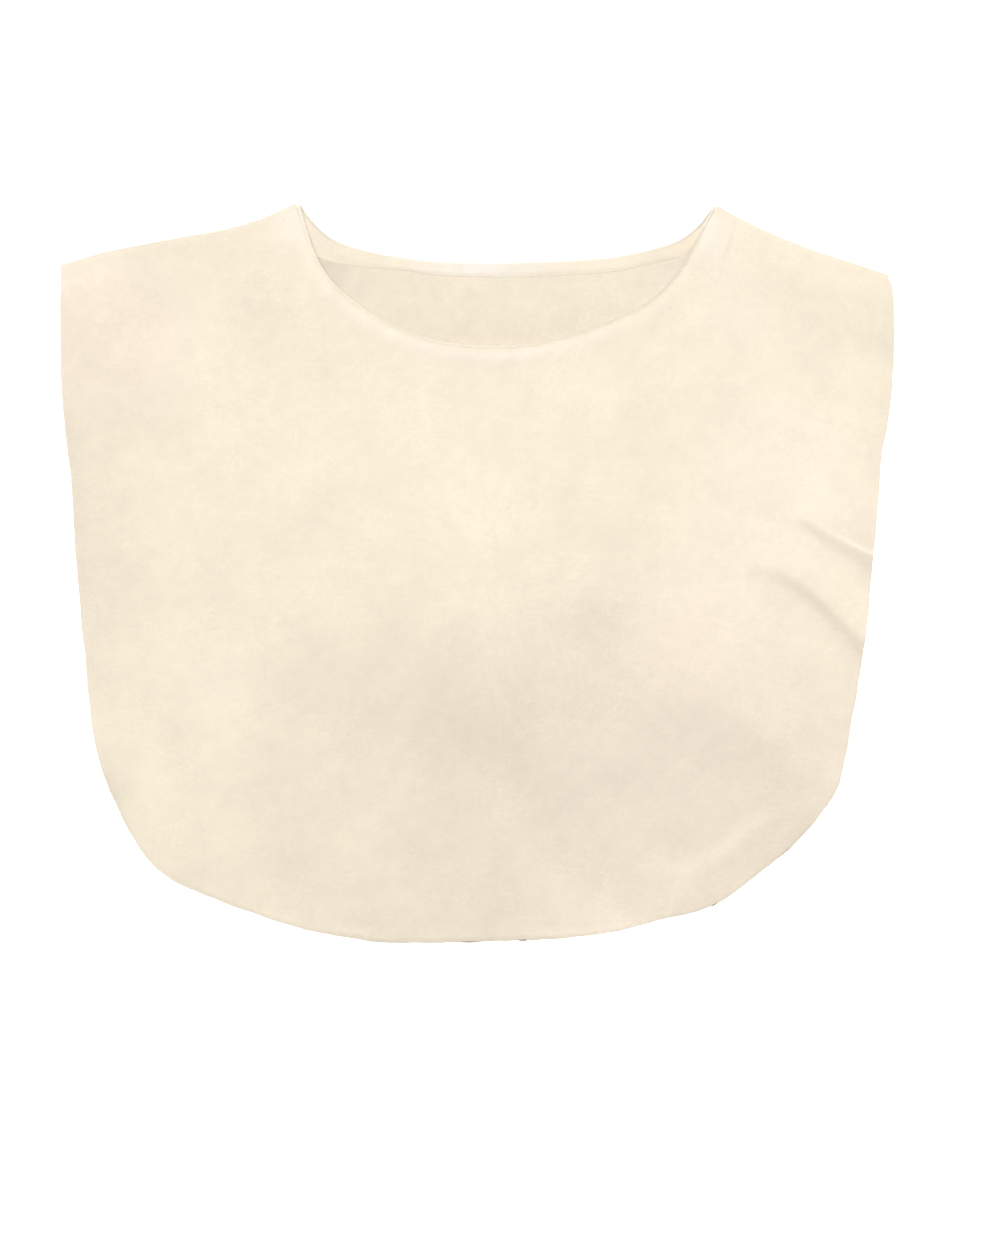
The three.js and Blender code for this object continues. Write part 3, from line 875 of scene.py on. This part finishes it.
def facing_loop():
    """Rings of the whole loop: front neckline, right shoulder, back neckline and left shoulder."""
    front = neck_rings(front_plan, front_level, 1.0, ROLL_HALF_HEIGHT, ditch_at)
    back = neck_rings(back_plan, flat_level, -1.0, BACK_HALF_HEIGHT, np.ones_like)
    back = {key: value[::-1] for key, value in back.items()}
    up_right = np.append(front_neckline.run(front_neckline.length), 0)
    up_left = np.append(-front_neckline.run(0.0), 0)
    over_right = turn_rings(one_ring(front, -1), one_ring(back, 0), up_right)
    over_left = turn_rings(one_ring(back, -1), one_ring(front, 0), up_left)
    loop = (front, over_right, back, over_left)
    return {key: np.concatenate([part[key] for part in loop]) for key in front}


def facing_shade(rings, across, x):
    """Tone of the facing: darker on the roll's outer flank, and towards the shoulders."""
    flank, edge_shade, end_shade = (rings[key][:, None] for key in ("flank", "edge", "end"))
    roll_shade = by_place(ROLL_SHADES, x) * (rings["out"][:, None, 2] > 0)
    shade = end_shade + roll_shade * (1 - smooth(*ROLL_ACROSS, across))
    shade += edge_shade * (1 - smooth(*EDGE_ACROSS, across))
    return shade + FLANK_SHADE * flank * (1 - smooth(*FLANK_ACROSS, across))


def neck_facing_cloth():
    rings = facing_loop()
    place, leg = rings["place"], rings["leg"]
    travelled = np.cumsum(np.linalg.norm(np.diff(place, axis=0, prepend=place[:1]), axis=1))
    width = rings["width"] + leg * waver(travelled, LEG_WANDER)
    thinner = leg * (waver(travelled, ROLL_WANDER) - ROLL_WANDER[1])
    fullness = 1 + thinner + KNUCKLE * rings["knuckle"]
    sections = [facing_section(*ring) for ring in zip(leg, width, rings["ditch"], rings["half_height"])]
    into, out = (np.array(values) for values in zip(*sections))
    out = np.where(out > 0, out * fullness[:, None], out)
    past_roll = np.clip(into - SETBACK, 0, None) / (FACING_WIDTH - SETBACK)

    points = place[:, None] + rings["into"][:, None] * (into - ROLL_HALF_WIDTH)[..., None]
    points += rings["out"][:, None] * out[..., None]
    points[..., 2] += past_roll * rings["raise"][:, None]
    index = np.arange(into.size).reshape(into.shape)
    closed = np.pad(index, ((0, 1), (0, 1)), mode="wrap")
    piece = mesh_piece("neck_facing_cloth", points.reshape(-1, 3), strip_faces(closed)[:, ::-1].tolist())
    store(piece, "shade", facing_shade(rings, into / SETBACK, points[..., 0]).ravel())
    return piece


facing_cloth = neck_facing_cloth()

# %% [markdown]
# ## Stitches
#
# The facing is sewn in the ditch between the roll and the panel, and each shoulder has a seam
# whose thread shows as small rungs between the two turned edges. One stitch is a sphere pulled out
# into a capsule. Its mesh is then copied along each seam in code, because that is the same stitch a
# few hundred times.

# %% Stitch copied along the seams
THREAD = 0.30 * MM
STITCH_SIDES = 8
STITCH_RINGS = 6
STITCH_LENGTH = 1.7 * MM
STITCH_PITCH = 2.5 * MM
RUNG_LENGTH = 0.95 * MM
RUNG_REACH = 0.55 * MM
DITCH_ASIDE = 1.85 * MM
DITCH_RISE = 0.42 * MM


def one_stitch(length):
    """Points and faces of a capsule along X, the faces sorted so that every run has the same order."""
    bpy.ops.mesh.primitive_uv_sphere_add(
        segments=STITCH_SIDES, ring_count=STITCH_RINGS, radius=THREAD / 2, rotation=(0, math.pi / 2, 0)
    )
    bpy.ops.object.transform_apply(location=False, rotation=True, scale=False)
    stitch = bpy.context.object
    points = np.array([vertex.co for vertex in stitch.data.vertices])
    points[:, 0] += np.sign(np.round(points[:, 0] / THREAD, 3)) * (length - THREAD) / 2
    faces = sorted(list(polygon.vertices) for polygon in stitch.data.polygons)
    bpy.data.objects.remove(stitch)
    return points, faces


def row_of_stitches(name, length, places, runs, ups):
    """A copy of the stitch at each place, lying along its run."""
    points, faces = one_stitch(length)
    sides = np.cross(ups, runs)
    axes = np.stack([runs, sides, ups], axis=1)
    copies = places[:, None] + np.einsum("pk,nkd->npd", points, axes)
    shifted = [[corner + k * len(points) for corner in face] for k in range(len(places)) for face in faces]
    return mesh_piece(name, copies.reshape(-1, 3), shifted)


def ditch_stitches():
    line = front_plan.neckline
    along = np.arange(LEG_FULL, line.length - LEG_FULL, STITCH_PITCH)
    u = front_plan.neck_share(along)
    height = front_level(front_plan, u, 0 * u)
    places = np.column_stack([line.beside(along, DITCH_ASIDE), height + DITCH_RISE])
    runs = unit(np.column_stack([line.run(along), np.gradient(height, along)]))
    side = np.column_stack([line.right(along), 0 * along])
    ups = np.cross(side, runs)
    return row_of_stitches("neckline_stitches", STITCH_LENGTH, places, runs, ups)


def shoulder_rungs(name, line, hand):
    along = np.arange(TRIM_END, line.length - STITCH_PITCH, STITCH_PITCH)
    middle = (BACK_LEVEL + SEAM_LEVEL) / 2
    places = line.at(along) + line.right(along) * hand * RUNG_REACH
    places = np.column_stack([places, np.full(len(along), middle)])
    runs = np.tile([0.0, 0.0, 1.0], (len(along), 1))
    ups = np.column_stack([line.right(along) * hand, 0 * along])
    return row_of_stitches(name, RUNG_LENGTH, places, runs, ups)


neck_stitches = ditch_stitches()
left_stitches = shoulder_rungs("left_shoulder_stitches", front_plan.left, 1)
right_stitches = shoulder_rungs("right_shoulder_stitches", front_plan.right, -1)

# %% [markdown]
# ## Shader maths
#
# A material's sums read best as sums. A small class wraps a node's output, so that a sum or product
# in Python adds the Math node that does it. Any other node comes from one method.

# %% Wire and Finish
def maths(operation, swapped=False):
    """A wire's method that adds one Math node."""

    def apply(self, other=0.0):
        first, second = (other, self) if swapped else (self, other)
        return self.finish.node("Math", {"operation": operation}, {0: first, 1: second})

    return apply


class Wire:
    """Output of a node that takes part in sums."""

    def __init__(self, socket, finish):
        self.socket = socket
        self.finish = finish

    __add__ = maths("ADD")
    __sub__ = maths("SUBTRACT")
    __rsub__ = maths("SUBTRACT", swapped=True)
    __mul__ = maths("MULTIPLY")
    abs = maths("ABSOLUTE")
    sin = maths("SINE")
    fraction = maths("FRACT")


class Finish:
    """One material and its nodes."""

    def __init__(self, name):
        self.material = bpy.data.materials.new(name)
        self.material.use_nodes = True
        self.tree = self.material.node_tree
        self.tree.nodes.clear()

    def node(self, kind, settings=None, inputs=None, output=0):
        made = self.tree.nodes.new("ShaderNode" + kind)
        for name, value in (settings or {}).items():
            setattr(made, name, value)
        for name, value in (inputs or {}).items():
            if isinstance(value, Wire):
                self.tree.links.new(value.socket, made.inputs[name])
            else:
                made.inputs[name].default_value = value
        return Wire(made.outputs[output], self)

    def noise(self, place, scale, detail, rough=0.5):
        inputs = {"Vector": place, "Scale": scale, "Detail": detail, "Roughness": rough}
        return self.node("TexNoise", {"noise_dimensions": "3D"}, inputs)

    def colour_mix(self, share, first, second, blend="MIX"):
        settings = {"data_type": "RGBA", "blend_type": blend}
        return self.node("Mix", settings, {0: share, 6: first, 7: second}, output=2)

    def finished(self, surface):
        output = self.tree.nodes.new("ShaderNodeOutputMaterial")
        self.tree.links.new(surface.socket, output.inputs["Surface"])
        return self.material


# %% [markdown]
# ## Brushed jersey
#
# Jersey is knitted in columns of small V-shaped loops, called wales, and the brushed nap half hides
# them. From above the eye sees cream cloth with soft light and dark clouds, fine flecks where the
# yarn is thicker, and a faint ribbing. The colour is a drift between a yellower and a pinker cream.
# The painted light and shade comes with the pieces as attributes, because it belongs to places on
# the garment, and a paler cream is mixed in where highlights are painted. The loops are bump.

# %% Jersey finish
CREAM = (0.868, 0.782, 0.622, 1)
CREAM_PINK = (0.877, 0.770, 0.636, 1)
# The paler cream that painted highlights and the paler painted shade mix towards.
CREAM_PALE = (0.868, 0.805, 0.715, 1)
WALE = 0.75 * MM
COURSE = 0.62 * MM
LOOP_WANDER = (70.0, 1.0)  # scale of each noise, its detail, and its roughness where it isn't 0.5
DRIFT = (14.0, 2.0)
CLOUDS = (34.0, 3.0, 0.55)
MOTTLE = (150.0, 3.0, 0.65)
BRUSHED = (38.0, 2.0)
BRUSHED_RANGES = (0.44, 0.60, 0.35, 1.0)  # of its noise, and of how much grain it lets through
GRAIN = (620.0, 2.0, 0.6)
STREAKS = (1.0, 2.0, 0.6)
STREAK_SCALE = (190.0, 700.0, 1.0)
NAP = (2600.0, 2.0, 0.6)
CLOUD_DEPTH = 0.15
MOTTLE_DEPTH = 0.12
GRAIN_DEPTH = 0.14
STREAK_DEPTH = 0.05
LOOP_DEPTH = 0.02
LOOP_SWAY = 0.9  # in wales
LOOP_LEAN = 0.55
RIDGE_SHARE = 0.45  # of the height of the knit, between the wales
LOOP_SHARE = 0.55
DRIFT_SHARE = 0.6
KNIT_HEIGHT = 0.6  # parts of the bump
NAP_HEIGHT = 0.5
GRAIN_HEIGHT = 1.2
BUMP_STRENGTH = 0.35
BUMP_DISTANCE = 0.12 * MM
ROUGHNESS = 0.90
ROUGHNESS_SPREAD = 0.10
SHEEN = {
    "Specular IOR Level": 0.15,
    "Sheen Weight": 0.12,
    "Sheen Roughness": 0.5,
    "Sheen Tint": (1.0, 0.95, 0.86, 1.0),
}


def knit(across, along):
    """Height of the loops, from 0 to 1, for two wires that count wales and courses."""
    wale = (across.fraction() - 0.5).abs() * 2.0
    ridge = (wale * (math.pi / 2)).sin()
    loop = ((along + wale * LOOP_LEAN) * (2 * math.pi)).sin() * 0.5 + 0.5
    return (1.0 - ridge) * RIDGE_SHARE + loop * LOOP_SHARE


def jersey_finish(name, lightness=1.0):
    finish = Finish(name)
    place = finish.node("TexCoord", output=3)
    wander = finish.noise(place, *LOOP_WANDER) * (LOOP_SWAY * WALE)
    x, y = (finish.node("SeparateXYZ", {}, {0: place}, output=k) for k in (0, 1))
    loops = knit((x + wander) * (1 / WALE), (y + wander) * (1 / COURSE))

    keys = ("tone", "pink", "pale")
    tone, pink, pale = (finish.node("Attribute", {"attribute_name": key}, output=2) for key in keys)
    drift = finish.noise(place, *DRIFT) * DRIFT_SHARE + pink
    colour = finish.colour_mix(drift, CREAM, CREAM_PINK)
    colour = finish.colour_mix(pale, colour, CREAM_PALE)

    clouds = finish.noise(place, *CLOUDS) - 0.5
    mottle = finish.noise(place, *MOTTLE) - 0.5
    patchy = (finish.noise(place, *BRUSHED), *BRUSHED_RANGES)
    brushed = finish.node("MapRange", {}, dict(enumerate(patchy)))
    grain = (finish.noise(place, *GRAIN) - 0.5) * brushed
    stretched = finish.node("Mapping", {}, {"Vector": place, "Scale": STREAK_SCALE})
    streaks = finish.noise(stretched, *STREAKS) - 0.5
    light = clouds * CLOUD_DEPTH + mottle * MOTTLE_DEPTH + grain * GRAIN_DEPTH + streaks * STREAK_DEPTH
    # tone brings the painted light and shade stored on the points.
    light = light + loops * LOOP_DEPTH + tone + (lightness - LOOP_DEPTH / 2)
    grey = finish.node("CombineColor", {}, {k: light for k in range(3)})
    colour = finish.colour_mix(1.0, colour, grey, "MULTIPLY")

    height = loops * KNIT_HEIGHT + finish.noise(place, *NAP) * NAP_HEIGHT + grain * GRAIN_HEIGHT
    bump = {"Strength": BUMP_STRENGTH, "Distance": BUMP_DISTANCE, "Height": height}
    normal = finish.node("Bump", {}, bump)
    roughness = mottle * ROUGHNESS_SPREAD + ROUGHNESS
    surface = {"Base Color": colour, "Roughness": roughness, "Normal": normal, **SHEEN}
    return finish.finished(finish.node("BsdfPrincipled", {}, surface))


FLOOR_WHITE = (0.93, 0.93, 0.93, 1)
FLOOR_GLOW = 1.0


def floor_finish():
    finish = Finish("white_floor")
    inputs = {
        "Base Color": FLOOR_WHITE,
        "Roughness": 1.0,
        "Specular IOR Level": 0.0,
        "Emission Color": (1, 1, 1, 1),
        "Emission Strength": FLOOR_GLOW,
    }
    return finish.finished(finish.node("BsdfPrincipled", {}, inputs))


# %% [markdown]
# ## Painted light and shade
#
# Light and shade is painted into the colour of the cloth. Broad soft patches a few hundredths
# lighter or darker are painted shading of the cloth's soft swells and hollows, and each is a row in
# a table. The lower part is painted darker, the free edge and the shoulder turns have painted light
# and shade, and the band below the neckline and the crests of two creases have painted highlights.
# The inside of the back is darker, partly painted shade and partly its unbrushed side, most of all
# close under the front's neckline. The sums are stored on the mesh's points, and the material adds
# them to its light.

# %% Patches on the points
# Painted light and shade in broad soft patches, standing in for the shading of the cloth's swells and
# hollows.
LIGHT_AND_SHADE_PATCHES = [  # x, y, reach across, reach along, lighter
    (-10, 38, 30, 20, 0.025), (138, 61, 36, 30, 0.050), (-50, -121, 22, 24, 0.044),
    (70, -162, 30, 12, 0.035), (-89, 166, 7, 9, 0.030), (108.5, 163, 4, 14, 0.015),
    (14, -78, 34, 26, -0.045), (50, -24, 24, 16, -0.062), (-174, 4, 15, 50, -0.056),
    (-182, 88, 20, 30, -0.050), (-180, 121, 18, 12, 0.035), (-98, 126, 24, 18, -0.042),
    (-62, 110, 44, 24, -0.024), (44, 120, 18, 12, -0.028), (-150, 40, 36, 70, -0.020),
    (-124, -18, 26, 24, -0.032), (-62, 144, 14, 12, -0.035), (-136, 152, 34, 9, -0.045),
    (-96, 140, 26, 22, -0.060), (96, 144, 22, 20, -0.060), (-124, 96, 60, 30, -0.020),
    (0, 8, 40, 24, 0.045), (124, -6, 34, 34, 0.050), (74, 36, 50, 24, 0.020), (100, -36, 16, 13, 0.042),
    (134, -64, 18, 14, 0.055), (-118, -82, 24, 24, 0.020), (-172, -98, 14, 16, -0.090),
    (-122, -141, 26, 12, -0.065), (152, -113, 10, 12, -0.030), (-20, -160, 30, 12, -0.025),
    (180, 118, 16, 10, 0.030), (182, 24, 9, 7, -0.045), (41, -169, 14, 3, 0.030),
    (190, 84, 8, 13, -0.035), (70, -136, 11, 9, 0.028), (-120, -60, 18, 10, 0.024),
    (-30, 77, 13, 11, -0.022), (-4, -14, 26, 18, 0.018),
]
# Painted highlights, paler as well as lighter: on the right side and at the two neck points.
HIGHLIGHT_PATCHES = [
    (140, 38, 30, 44, 0.2), (-88, 164, 7, 11, 0.5), (110, 160, 5, 14, 0.5),
]
# Paler cream painted on the facing: a painted highlight along the middle of the back band, and paler shade
# at its left end.
FACING_PALE = [
    (2, 144.5, 27, 5.5, 1.05), (-72, 158, 12, 9, 0.3),
]
# Painted light and shade along the free edge.
EDGE_LIGHT_AND_SHADE = [  # x, y, reach, how far from the edge, width, lighter
    (-189, 12, 48, 0, 9, -0.070), (-193, 64, 28, 2, 8, -0.040), (-169, -110, 16, 0, 5, -0.045),
    (-116, -156, 14, 0, 6, -0.030), (-59, -171, 15, 3.8, 1.6, 0.050), (38, -171, 12, 3.2, 2.0, 0.030),
    (102, -158, 14, 3, 3, -0.045), (152, -124, 18, 2.5, 4, -0.070), (171, -85, 14, 4, 7, 0.045),
    (187, 12, 15, 3.5, 4, -0.030), (193, 74, 16, 3, 3, -0.030), (60, -169, 27, 0.2, 0.9, 0.120),
    (62, -166, 20, 4, 5, 0.030), (-98, -162, 30, 0.2, 0.9, 0.085), (140, -137, 30, 0.2, 0.9, 0.100),
    (-150, -138, 26, 0.2, 0.9, 0.025),
]
PINK_PATCHES = [  # x, y, reach across, reach along, share
    (90, -80, 80, 80, 0.7), (160, 30, 50, 50, 0.35), (-175, 110, 36, 36, 0.9), (-112, -55, 30, 30, 0.3),
    (118, 128, 36, 36, 0.35), (20, -130, 60, 45, 0.35),
]
# Painted light over the upper part and painted shade over the lower part, reaching lower towards the right.
UPPER_LIGHT = 0.02
LOWER_SHADE = -0.055
LOWER_FALL = (0.0, -0.070)
LOWER_SLOPE = 0.35
LOWER_BEND = 0.09
LOWER_LEFT = (-0.130, -0.060)
# Painted shade on the cloth turned over the shoulder seams.
TURNED_SHADE = -0.16  # the turned cloth at the shoulders
# The inside of the back is darker, partly painted shade in the opening and partly its unbrushed side. Close
# under the front's neckline it has more painted shade, in a paler cream.
INSIDE_TONE = -0.062
UNDER_NECK_PALE = 0.4
UNDER_NECK_SHADE = -0.06
UNDER_NECK_REACH = 8 * MM
# Painted shade inside the opening, darkest in its left corner, and a little painted light at its right.
INSIDE_LIGHT_AND_SHADE = [
    (-70, 146, 7, 7, -0.05), (-60, 138, 14, 12, -0.015), (-10, 112, 34, 9, -0.055),
    (45, 117, 16, 8, -0.03), (90, 140, 8, 10, 0.03),
]
# The band below the front neckline is lighter and paler, partly a painted highlight on the raised band and
# partly the nap stretched over the facing's leg. Beside the ditch the panel has painted shade.
NECK_TONE = 0.022
NECK_PALE = 0.35
NECK_BRIGHT = [  # x along the front neckline, how much of the band's tone shows
    (-83, 0.15), (-68, 0.3), (-58, 0.8), (-44, 1.0), (30, 1.0), (56, 0.6), (74, 0.15), (112, 0.1),
]
NECK_TONE_RISE = (2.2 * MM, 4.0 * MM)
NECK_TONE_FALL = (6.0 * MM, 9.5 * MM)
NECK_EDGE_SHADE = -0.025
NECK_EDGE_FADE = (2.0 * MM, 3.4 * MM)
LINE_STEP = 8


def points_of(piece):
    points = np.empty(len(piece.data.vertices) * 3)
    piece.data.vertices.foreach_get("co", points)
    return points.reshape(-1, 3)


def stored(piece, name):
    values = np.empty(len(piece.data.vertices), np.float32)
    piece.data.attributes[name].data.foreach_get("value", values)
    return values


def distance_to(line, points):
    """How far each point is, in plan, from the nearest of a line's points."""
    apart = points[:, None, :2] - line.points[::LINE_STEP]
    return np.linalg.norm(apart, axis=-1).min(axis=-1)


def edge_light_and_shade(points):
    """Painted light and shade in stretches along the free edge."""
    x, y = points.T[:2]
    from_edge = distance_to(edge, points)
    tone = np.zeros(len(x))
    for middle_x, middle_y, reach, inland, width, lighter in EDGE_LIGHT_AND_SHADE:
        near = patches(x, y, [(middle_x, middle_y, reach, reach, lighter)])
        tone += near * bell(from_edge - inland * MM, width * MM)
    return tone


def paint_light_and_tint(piece, tone, pale, more=()):
    """Store tone, pink and pale on a piece's points: painted light and shade, tint, and paler cream."""
    x, y = points_of(piece).T[:2]
    # painted shade over the lower part
    low = y + LOWER_SLOPE * np.clip(x - LOWER_BEND, 0, None)
    lower = smooth(*LOWER_FALL, low) * smooth(*LOWER_LEFT, x)
    tone = tone + mixed(UPPER_LIGHT, LOWER_SHADE, lower) + patches(x, y, (*LIGHT_AND_SHADE_PATCHES, *more))
    store(piece, "tone", tone)
    store(piece, "pink", patches(x, y, PINK_PATCHES))
    store(piece, "pale", pale + patches(x, y, HIGHLIGHT_PATCHES))


front_points = points_of(front_cloth)
# Painted highlight, with the stretched nap, on the band below the neckline, and painted shade beside the
# ditch.
aside = stored(front_cloth, "from_neck") + SETBACK
neck_band = smooth(*NECK_TONE_RISE, aside) - smooth(*NECK_TONE_FALL, aside)
neck_band *= by_place(NECK_BRIGHT, front_points[:, 0])
front_tone = NECK_TONE * neck_band + NECK_EDGE_SHADE * (1 - smooth(*NECK_EDGE_FADE, aside))
front_tone += TURNED_SHADE * stored(front_cloth, "turned") + edge_light_and_shade(front_points)
front_pale = NECK_PALE * neck_band
# Each crease adds its painted highlight along the crest.
for crease in CREASES:
    shine = creased(front_points[:, :2], crease)[1]
    front_tone += shine
    front_pale += crease.get("pale", 0.0) * shine
paint_light_and_tint(front_cloth, front_tone, front_pale)

# Painted shade on the inside of the back, most close under the front's neckline.
under_neck_shade = bell(distance_to(front_neckline, points_of(back_cloth)), UNDER_NECK_REACH)
back_tone = INSIDE_TONE + UNDER_NECK_SHADE * under_neck_shade + TURNED_SHADE * stored(back_cloth, "turned")
paint_light_and_tint(back_cloth, back_tone, UNDER_NECK_PALE * under_neck_shade, INSIDE_LIGHT_AND_SHADE)

facing_pale = patches(*points_of(facing_cloth).T[:2], FACING_PALE)
paint_light_and_tint(facing_cloth, stored(facing_cloth, "shade"), facing_pale)

# %% Finishes put on
panel_jersey = jersey_finish("brushed_jersey")
facing_jersey = jersey_finish("facing_jersey", 1.01)
thread_finish = jersey_finish("sewing_thread", 0.97)
for piece, material in (
    (front_cloth, panel_jersey),
    (back_cloth, panel_jersey),
    (facing_cloth, facing_jersey),
    (neck_stitches, thread_finish),
    (left_stitches, thread_finish),
    (right_stitches, thread_finish),
    (floor, floor_finish()),
):
    piece.data.materials.append(material)

# %% [markdown]
# ## What each piece stands for
#
# Every piece moves with the one body of the garment. The three cloth pieces take the places of the
# three imported solids, which are hidden.

pieces = (front_cloth, back_cloth, facing_cloth, neck_stitches, left_stitches, right_stitches)
for piece in pieces:
    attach(piece, "root")
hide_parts("front_panel")
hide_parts("back_panel")
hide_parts("neck_facing")
